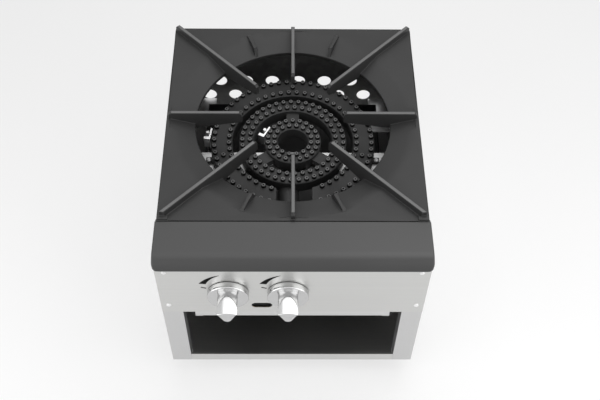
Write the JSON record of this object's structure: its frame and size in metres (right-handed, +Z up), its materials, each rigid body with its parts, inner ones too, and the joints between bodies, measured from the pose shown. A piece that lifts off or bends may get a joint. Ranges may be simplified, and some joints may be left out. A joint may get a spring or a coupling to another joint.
{
  "type": "stock pot range",
  "caption": "Low gas stock pot range with a three-ring burner under a square cast grate, two front controls, a crumb tray and an open shelf on screw feet.",
  "frame": {"origin": "on the floor, under the middle of the outer box", "axes": "+X to the right as the cook faces the controls, +Y to the rear, +Z up"},
  "size_m": [0.4664, 0.6244, 0.419],
  "materials": {
    "stainless": "brushed stainless sheet, grain along the width",
    "galvanised": "plain galvanised sheet",
    "tray_steel": "aluminised tray sheet",
    "black_ledge": "black semi-gloss enamel",
    "grate_iron": "dark painted casting, fine sand grain",
    "burner_iron": "dark casting",
    "pipe_steel": "black pipe",
    "brass": "machined brass",
    "stem_steel": "turned steel",
    "knob_chrome": "polished plated casting",
    "shutter_steel": "plain steel pressing",
    "tube_aluminium": "drawn tube",
    "pilot_steel": "bright stainless pressing",
    "foot_steel": "turned stainless",
    "screw_steel": "bright screws"
  },
  "bodies": {
    "cabinet": {"control_panel": "stainless", "bottom_shelf": "stainless", "right_side_panel": "stainless", "left_side_panel": "stainless", "burner_cross_bar": "stainless", "mixer_cross_bar": "stainless", "ring_rest": "stainless", "back_panel": "galvanised", "front_cross_rail": "galvanised", "right_tray_runner": "galvanised", "left_tray_runner": "galvanised", "manifold_hangers": "galvanised", "leg_sockets": "galvanised", "front_ledge": "black_ledge", "outer_burner": "burner_iron", "inner_burner": "burner_iron", "gas_manifold": "pipe_steel", "manifold_plug": "pipe_steel", "manifold_elbow": "pipe_steel", "supply_pipe": "pipe_steel", "outer_gas_valve": "brass", "inner_gas_valve": "brass", "orifice_spuds": "brass", "outer_pilot_valve": "brass", "inner_pilot_valve": "brass", "outer_pilot_tube": "tube_aluminium", "inner_pilot_tube": "tube_aluminium", "outer_pilot_burner": "pilot_steel", "inner_pilot_burner": "pilot_steel", "outer_pilot_bracket": "pilot_steel", "inner_pilot_bracket": "pilot_steel", "panel_screws": "screw_steel", "ledge_screws": "screw_steel", "back_screws": "screw_steel", "bar_screws": "screw_steel", "rail_screws": "screw_steel", "runner_screws": "screw_steel", "shelf_screws": "screw_steel", "burner_screws": "screw_steel", "rest_screws": "screw_steel"},
    "grate": {"top_grate": "grate_iron"},
    "outer_control": {"outer_knob": "knob_chrome", "outer_valve_stem": "stem_steel"},
    "inner_control": {"inner_knob": "knob_chrome", "inner_valve_stem": "stem_steel"},
    "outer_shutter": {"outer_air_shutter": "shutter_steel"},
    "inner_shutter": {"inner_air_shutter": "shutter_steel"},
    "tray": {"crumb_tray": "tray_steel"},
    "outer_pilot_adjuster": {"outer_pilot_screw": "brass"},
    "inner_pilot_adjuster": {"inner_pilot_screw": "brass"},
    "foot_front_left": {"front_left_foot": "foot_steel"},
    "foot_front_right": {"front_right_foot": "foot_steel"},
    "foot_rear_left": {"rear_left_foot": "foot_steel"},
    "foot_rear_right": {"rear_right_foot": "foot_steel"}
  },
  "joints": [
    {"name": "grate_lift", "type": "slide", "parent": "cabinet", "child": "grate", "axis": [0, 0, 1], "range_m": [0, 0.15]},
    {"name": "outer_control_turn", "type": "hinge", "parent": "cabinet", "child": "outer_control", "pos_m": [-0.11, -0.27425, 0.308], "axis": [0, -1, 0], "range_deg": [0, 90]},
    {"name": "inner_control_turn", "type": "hinge", "parent": "cabinet", "child": "inner_control", "pos_m": [-0.008, -0.27425, 0.308], "axis": [0, -1, 0], "range_deg": [0, 90]},
    {"name": "outer_shutter_turn", "type": "hinge", "parent": "cabinet", "child": "outer_shutter", "pos_m": [-0.11, -0.18825, 0.308], "axis": [0, -1, 0], "range_deg": [0, 80]},
    {"name": "inner_shutter_turn", "type": "hinge", "parent": "cabinet", "child": "inner_shutter", "pos_m": [-0.008, -0.18825, 0.308], "axis": [0, -1, 0], "range_deg": [0, 80]},
    {"name": "tray_slide", "type": "slide", "parent": "cabinet", "child": "tray", "axis": [0, -1, 0], "range_m": [0, 0.42]},
    {"name": "outer_pilot_adjust", "type": "hinge", "parent": "cabinet", "child": "outer_pilot_adjuster", "pos_m": [-0.0615, -0.25225, 0.264], "axis": [0, -1, 0], "range_deg": [-180, 180]},
    {"name": "inner_pilot_adjust", "type": "hinge", "parent": "cabinet", "child": "inner_pilot_adjuster", "pos_m": [-0.0455, -0.25225, 0.264], "axis": [0, -1, 0], "range_deg": [-180, 180]},
    {"name": "foot_front_left_screw", "type": "slide", "parent": "cabinet", "child": "foot_front_left", "axis": [0, 0, -1], "range_m": [0, 0.015]},
    {"name": "foot_front_right_screw", "type": "slide", "parent": "cabinet", "child": "foot_front_right", "axis": [0, 0, -1], "range_m": [0, 0.015]},
    {"name": "foot_rear_left_screw", "type": "slide", "parent": "cabinet", "child": "foot_rear_left", "axis": [0, 0, -1], "range_m": [0, 0.015]},
    {"name": "foot_rear_right_screw", "type": "slide", "parent": "cabinet", "child": "foot_rear_right", "axis": [0, 0, -1], "range_m": [0, 0.015]}
  ]
}
